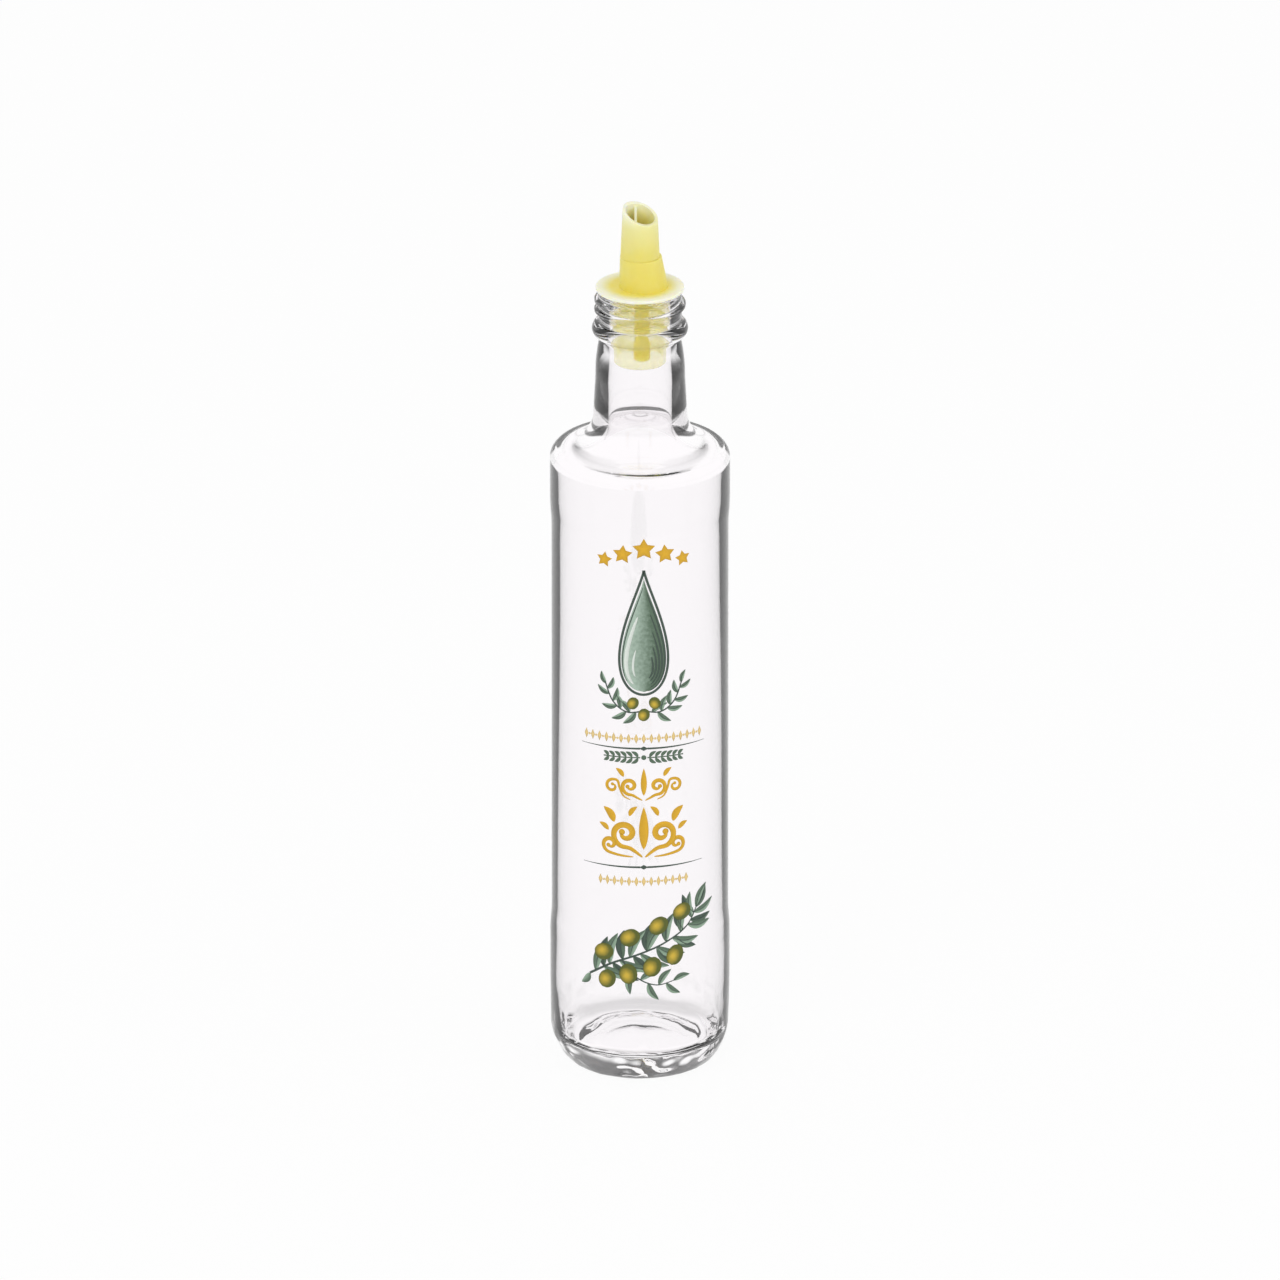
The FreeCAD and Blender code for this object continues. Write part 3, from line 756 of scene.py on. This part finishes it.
class CRUET_OT_stars(bpy.types.Operator):
    """Prints the arch of five stars"""

    bl_idname = "cruet.stars"
    bl_label = "Stars"

    def execute(self, context):
        glass, inks = context.scene.cruet_glass, context.scene.cruet_inks
        ink = Ink()
        ink.polygon((PRINT_CENTRE, 197.6), 4.1, 5, 2.15)
        for side in (-1, 1):
            ink.polygon((PRINT_CENTRE + side * 7.3, 195.6), 3.55, 5, 1.9, turn=90 + 4 * side)
            ink.polygon((PRINT_CENTRE + side * 13.8, 193.2), 2.9, 5, 1.55, turn=90 + 8 * side)
        ink.wrap(glass, "print_stars", ink_material("gold_ink", inks.gold))
        return {"FINISHED"}


class CRUET_OT_rows(bpy.types.Operator):
    """Prints the two thin rules and the rows of small lozenges, dots and leaves"""

    bl_idname = "cruet.rows"
    bl_label = "Rules and rows"

    def execute(self, context):
        glass, inks = context.scene.cruet_glass, context.scene.cruet_inks
        middle = PRINT_CENTRE
        rules = Ink()
        for z, reach in ((124.7, 22.8), (81.1, 22)):
            for side in (-1, 1):
                ends = [(middle + side * 1.2, z), (middle + side * reach, z)]
                rules.ribbon(ends, 0.7, fading_shape, steps=16)
            rules.polygon((middle, z), 0.85, 4, stretch=1.8)
        rules.wrap(glass, "print_rules", ink_material("line_ink", inks.line))

        rows = Ink()
        for z, reach in ((128.3, 20.8), (75.8, 15.2)):
            count = round(reach / 2.7)
            pitch = reach / count
            for i in range(-count, count + 1):
                rows.polygon((middle + i * pitch, z), 1.85, 4, stretch=0.42)
                if i < count:
                    rows.polygon((middle + (i + 0.5) * pitch, z), 0.42, 10)
        rows.wrap(glass, "print_rows", ink_material("pale_gold_ink", inks.pale_gold))

        leaves, row = Ink(), 121.4
        for side in (-1, 1):
            for i in range(6):
                s, size = middle + side * (1.9 + 2.05 * i), 3.2 - 0.14 * i
                for up in (-1, 1):
                    tip = s + side * size * 0.75, row + up * size * 0.68
                    leaves.leaf((s, row + up * 0.15), tip, 1.25, bend=0.12 * side * up)
            leaves.ribbon([(middle + side * 1.2, row), (middle + side * 14, row)], 0.45)
        leaves.polygon((middle, row), 0.9, 12)
        leaves.wrap(glass, "print_leaf_row", ink_material("leaf_ink", inks.leaf))
        return {"FINISHED"}


class CRUET_OT_scrolls(bpy.types.Operator):
    """Prints the two gold scroll ornaments between the rules"""

    bl_idname = "cruet.scrolls"
    bl_label = "Scrolls"

    def execute(self, context):
        glass, inks = context.scene.cruet_glass, context.scene.cruet_inks
        middle = PRINT_CENTRE
        ink = Ink()
        for side in (-1, 1):
            ink.volute(middle, side, [(0.5, 84.8), (2.6, 86.6)], (6.3, 93.4), -105, (5.5, 1.3), 1.35, 2.2)
            ink.volute(middle, side, [(3.6, 84.9), (7.4, 85.2)], (11.6, 89.2), -95, (3.3, 0.9), 1.15, 1.5)
            ink.leaf((middle + side * 10.2, 97.3), (middle + side * 14.0, 102.6), 2.7, 0.12 * side)
            ink.leaf((middle + side * 12.2, 94.2), (middle + side * 15.6, 96.6), 1.8, 0.1 * side)
            ink.leaf((middle + side * 5.0, 99.8), (middle + side * 2.2, 103.4), 1.8, -0.12 * side)
            ink.volute(middle, side, [(0.5, 105.7), (2.2, 106.6)], (4.7, 110.9), -105, (3.5, 0.9), 1.25, 1.45)
            ink.volute(middle, side, [(4.6, 105.9), (7.0, 107.2), (8.4, 110.4)], (10.9, 110.4), 130,
                       (2.9, 0.8), -1.1, 1.15)
            ink.leaf((middle + side * 6.9, 114.2), (middle + side * 9.6, 117.2), 1.7, 0.1 * side)
        ink.leaf((middle, 87.6), (middle, 103.2), 3.3, 0)
        ink.leaf((middle, 107.4), (middle, 117.4), 2.1, 0)
        ink.wrap(glass, "print_scrolls", ink_material("gold_ink", inks.gold))
        return {"FINISHED"}


class CRUET_OT_drop(bpy.types.Operator):
    """Prints the tall oil drop with its engraved lines, and the leaves and olives at its foot"""

    bl_idname = "cruet.drop"
    bl_label = "Oil drop"

    def execute(self, context):
        glass, inks = context.scene.cruet_glass, context.scene.cruet_inks
        middle, top, foot, half = PRINT_CENTRE, 190.0, 144.5, 8.4
        heart = Vector((middle, foot + half))

        def contour(side, scale, start=0.0, end=1.0):
            """Knots along a shrunken copy of the drop's edge, between two shares of the way round."""
            knots = []
            for i in range(25):
                u = (1 - math.cos(math.pi * (start + (end - start) * i / 24))) / 2
                edge = Vector((middle + side * half * drop_shape(u), top - u * (top - foot)))
                knots.append(heart + (edge - heart) * scale)
            return knots

        wash = Ink()
        wash.ribbon([(middle, top - 3), (middle, foot + 1.0)], 1.84 * half, drop_shape, columns=12, steps=36)
        wash.wrap(glass, "print_drop_wash", ink_material("wash_ink", inks.wash, inks.leaf, 0.5))

        shine = Ink()
        shine.ribbon(contour(-1, 0.72, 0.3, 0.86), 1.5, stroke_shape, steps=2)
        shine.ribbon(contour(-1, 0.44, 0.45, 0.8), 0.8, stroke_shape, steps=2)
        shine.wrap(glass, "print_drop_shine", ink_material("shine_ink", inks.shine), 1)

        lines = Ink()
        lines.ribbon(contour(-1, 1.0) + contour(1, 1.0)[-2::-1], 0.9, steps=2)
        engraved = ((0.87, 0.2, 0.95), (0.75, 0.3, 0.92), (0.63, 0.38, 0.9), (0.5, 0.45, 0.88),
                    (0.37, 0.5, 0.86))
        for scale, start, end in engraved:
            lines.ribbon(contour(1, scale, start, end), 0.62, stroke_shape, steps=2)
        lines.ribbon(contour(-1, 0.87, 0.12, 0.8), 0.4, stroke_shape, steps=2)
        lines.wrap(glass, "print_drop_lines", ink_material("line_ink", inks.line), 1)

        leaves, veins, fruit = Ink(), Ink(), Ink()
        for side in (-1, 1):
            stem = (0.6, 138.4), (6.0, 138.2), (10.6, 141.8), (13.4, 148.6)
            knots = [(middle + side * x, z) for x, z in stem]
            veins.ribbon(knots, 0.5)
            spray(leaves, veins, knots, 9, 6.4, 2.2, spread=36)
            fruit.oval((middle + side * 3.7, 141.4), 4.6, 3.9, math.radians(90 + 25 * side), tone=rounded)
        fruit.oval((middle, 137.2), 4.7, 4.0, math.radians(80), tone=rounded)
        leaf_ink = ink_material("lit_leaf_ink", inks.leaf_light, inks.leaf, 0.25)
        olive_ink = ink_material("olive_ink", inks.olive, inks.olive_rim, 0.2)
        leaves.wrap(glass, "print_wreath_leaves", leaf_ink, 2)
        veins.wrap(glass, "print_wreath_veins", ink_material("line_ink", inks.line), 3)
        fruit.wrap(glass, "print_wreath_olives", olive_ink, 4)
        return {"FINISHED"}


class CRUET_OT_sprig(bpy.types.Operator):
    """Prints the olive sprig near the foot"""

    bl_idname = "cruet.sprig"
    bl_label = "Olive sprig"

    def execute(self, context):
        glass, inks = context.scene.cruet_glass, context.scene.cruet_inks
        stem = [(-18.0, 40.5), (-9.5, 45.6), (0.0, 49.4), (9.0, 53.2), (17.0, 58.2), (21.0, 64.6)]
        twig = [(-6.0, 46.8), (-1.5, 41.0), (5.5, 37.8), (12.5, 39.0)]
        olives = [((-12.6, 49.4), 7.2, 5.9, 20), ((-11.4, 39.6), 7.0, 6.0, 60), ((-4.0, 42.0), 7.5, 6.2, 95),
                  ((-3.4, 55.2), 7.3, 6.0, 35), ((4.2, 44.6), 7.5, 6.2, 75), ((6.4, 59.4), 7.3, 6.0, 45),
                  ((12.2, 48.2), 7.6, 6.0, 70), ((14.8, 63.6), 7.0, 6.0, 25)]
        back, leaves, veins, fruit = Ink(), Ink(), Ink(), Ink()
        for knots, width in ((stem, 0.85), (twig, 0.6)):
            veins.ribbon(knots, width, stem_shape)
        spray(back, veins, stem, 12, 11.5, 3.5, spread=52)
        spray(leaves, veins, stem, 15, 12.5, 3.3, spread=34, first=0.05)
        spray(leaves, veins, twig, 7, 8.5, 2.7)
        leaves.leaf(stem[0], (-21.5, 36.4), 2.4)
        for centre, size, width, turn in olives:
            fruit.oval(centre, size, width, math.radians(turn), tone=rounded)
        back_ink = ink_material("back_leaf_ink", inks.leaf, inks.line, 0.25)
        leaf_ink = ink_material("lit_leaf_ink", inks.leaf_light, inks.leaf, 0.25)
        olive_ink = ink_material("olive_ink", inks.olive, inks.olive_rim, 0.2)
        back.wrap(glass, "print_sprig_back", back_ink)
        leaves.wrap(glass, "print_sprig_leaves", leaf_ink, 1)
        veins.wrap(glass, "print_sprig_veins", ink_material("line_ink", inks.line), 2)
        fruit.wrap(glass, "print_sprig_olives", olive_ink, 3)
        return {"FINISHED"}


# ---- stage -----------------------------------------------------------------------------------

def make_world(stage):
    """Plain white daylight, apart from the dark studio panels that clear glass needs to show its edges.

    The camera sees white. Matt surfaces get even daylight. Rays that glass sends out meet a darker band below
    the horizon, a painted shadow of the table under the cruet further down, and a dark ceiling, by their
    height alone, so the cruet looks alike from every side.
    """
    world = bpy.data.worlds.new("studio")
    bpy.context.scene.world = world
    world.use_nodes = True
    nodes, links = world.node_tree.nodes, world.node_tree.links
    nodes.clear()
    path = nodes.new("ShaderNodeLightPath")

    def maths(operation, *values):
        return add_math(nodes, links, operation, *values)

    bounced = maths("MINIMUM", path.outputs["Glossy Depth"], 1)
    entered = maths("MINIMUM", path.outputs["Transmission Depth"], 1)
    inside = maths("MULTIPLY", bounced, entered)
    past_wall = maths("SUBTRACT", path.outputs["Transmission Depth"], 2)
    deep = maths("MINIMUM", maths("MAXIMUM", past_wall, 0), 1)
    matt = maths("MINIMUM", path.outputs["Diffuse Depth"], 1)
    in_glass = maths("MAXIMUM", path.outputs["Is Transmission Ray"], path.outputs["Is Glossy Ray"])
    for_eye = maths("MULTIPLY", in_glass, maths("SUBTRACT", 1, matt))

    def background(strength):
        node = nodes.new("ShaderNodeBackground")
        node.inputs["Color"].default_value = (1, 1, 1, 1)
        feed(links, node.inputs["Strength"], strength)
        return node.outputs[0]

    def blend(share, first, second):
        node = nodes.new("ShaderNodeMixShader")
        links.new(share, node.inputs[0])
        links.new(first, node.inputs[1])
        links.new(second, node.inputs[2])
        return node.outputs[0]

    direction = nodes.new("ShaderNodeTexCoord").outputs["Generated"]
    axes = nodes.new("ShaderNodeSeparateXYZ")
    links.new(direction, axes.inputs[0])

    def by_height(low, high, first, last):
        return add_range(nodes, links, axes.outputs["Z"], low, high, first, last)

    def belt(level):
        """White above and below, with a band of the given level just under the horizon."""
        upper, lower = by_height(-0.02, 0.1, level, 1.0), by_height(-0.46, -0.58, level, 1.0)
        return background(maths("MAXIMUM", upper, lower))

    # Painted shadow: rays that pass through the glass steeply downwards see 0.7 instead of white, standing in
    # for the shadow on the table under the cruet.
    table, ceiling = by_height(-0.8, -0.5, 0.7, 1.0), by_height(0.23, 0.36, 1.0, 0.08)
    through = blend(entered, belt(stage.mirror_level), background(maths("MULTIPLY", table, ceiling)))
    mirrored = blend(deep, belt(stage.shade_level), background(stage.deep_level))
    seen = blend(inside, through, mirrored)
    lit = blend(for_eye, blend(in_glass, background(stage.daylight), background(stage.inner_level)), seen)
    shown = blend(path.outputs["Is Camera Ray"], lit, background(1.0))
    out = nodes.new("ShaderNodeOutputWorld")
    links.new(shown, out.inputs["Surface"])


def make_camera(stage):
    camera = bpy.data.objects.new("camera", bpy.data.cameras.new("camera"))
    bpy.context.scene.collection.objects.link(camera)
    bpy.context.scene.camera = camera
    camera.data.lens = camera.data.sensor_width * stage.distance / stage.view_height
    camera.data.clip_end = 10 * stage.distance
    back = Vector((0, -math.cos(stage.elevation), math.sin(stage.elevation)))
    camera.location = Vector((0, 0, stage.aim_height)) + stage.distance * back
    camera.rotation_euler = (math.pi / 2 - stage.elevation, 0, 0)


def make_floor():
    """A pale floor that takes the cruet's shadow and shines nearly white to the eye."""
    mesh = bmesh.new()
    bmesh.ops.create_circle(mesh, cap_ends=True, segments=96, radius=40)
    data = bpy.data.meshes.new("floor")
    mesh.to_mesh(data)
    mesh.free()
    floor = bpy.data.objects.new("floor", data)
    bpy.context.scene.collection.objects.link(floor)
    floor.location.z = -0.05 * MM
    floor.visible_transmission = False
    material, nodes, links, shader = new_material("floor")
    shader.inputs["Base Color"].default_value = (0.9, 0.9, 0.9, 1)
    shader.inputs["Roughness"].default_value = 0.9
    glow = nodes.new("ShaderNodeEmission")
    glow.inputs["Strength"].default_value = 1
    path = nodes.new("ShaderNodeLightPath")
    shown = add_math(nodes, links, "MAXIMUM", path.outputs["Is Camera Ray"], path.outputs["Is Glossy Ray"])
    glow_share = 0.93
    mix = nodes.new("ShaderNodeMixShader")
    links.new(add_math(nodes, links, "MULTIPLY", shown, glow_share), mix.inputs[0])
    links.new(shader.outputs[0], mix.inputs[1])
    links.new(glow.outputs[0], mix.inputs[2])
    links.new(mix.outputs[0], nodes["Material Output"].inputs["Surface"])
    data.materials.append(material)


def make_lamps(stage):
    """Two large soft lamps, seen only by matt surfaces, so that the glass mirrors no lamp."""
    for name, power, place, size in (("key", stage.key_power, (-0.9, -1.5, 1.5), 1.2),
                                     ("fill", stage.fill_power, (1.4, -0.9, 0.8), 1.4)):
        lamp = bpy.data.objects.new(name, bpy.data.lights.new(name, "AREA"))
        bpy.context.scene.collection.objects.link(lamp)
        lamp.data.energy = power
        lamp.data.size = size
        lamp.location = place
        aim = Vector((0, 0, stage.aim_height)) - lamp.location
        lamp.rotation_euler = aim.to_track_quat("-Z", "Y").to_euler()
        lamp.visible_glossy = False
        lamp.visible_transmission = False


class CRUET_OT_stage(bpy.types.Operator):
    """Makes the camera, the floor and the studio light"""

    bl_idname = "cruet.stage"
    bl_label = "Stage"

    def execute(self, context):
        stage = context.scene.cruet_stage
        context.scene.view_settings.view_transform = "Standard"
        make_camera(stage)
        make_floor()
        make_lamps(stage)
        make_world(stage)
        return {"FINISHED"}


OPERATORS = (CRUET_OT_bottle, CRUET_OT_pourer, CRUET_OT_stars, CRUET_OT_drop, CRUET_OT_rows, CRUET_OT_scrolls,
             CRUET_OT_sprig, CRUET_OT_stage)


class CRUET_PT_panel(bpy.types.Panel):
    """Lists the pieces"""

    bl_label = "Oil Cruet"
    bl_space_type = "VIEW_3D"
    bl_region_type = "UI"
    bl_category = "Cruet"

    def draw(self, context):
        for operator in OPERATORS:
            self.layout.operator(operator.bl_idname)


GROUPS = {"cruet_glass": CruetGlass, "cruet_plastic": CruetPlastic, "cruet_inks": CruetInks,
          "cruet_stage": CruetStage}
CLASSES = (*GROUPS.values(), *OPERATORS, CRUET_PT_panel)


def register():
    for each in CLASSES:
        bpy.utils.register_class(each)
    for name, group in GROUPS.items():
        setattr(bpy.types.Scene, name, PointerProperty(type=group))


def unregister():
    for name in GROUPS:
        delattr(bpy.types.Scene, name)
    for each in reversed(CLASSES):
        bpy.utils.unregister_class(each)


def main():
    register()
    bpy.ops.cruet.bottle()
    bpy.ops.cruet.pourer()
    bpy.ops.cruet.stars()
    bpy.ops.cruet.drop()
    bpy.ops.cruet.rows()
    bpy.ops.cruet.scrolls()
    bpy.ops.cruet.sprig()
    bpy.ops.cruet.stage()


if __name__ == "__main__":
    main()
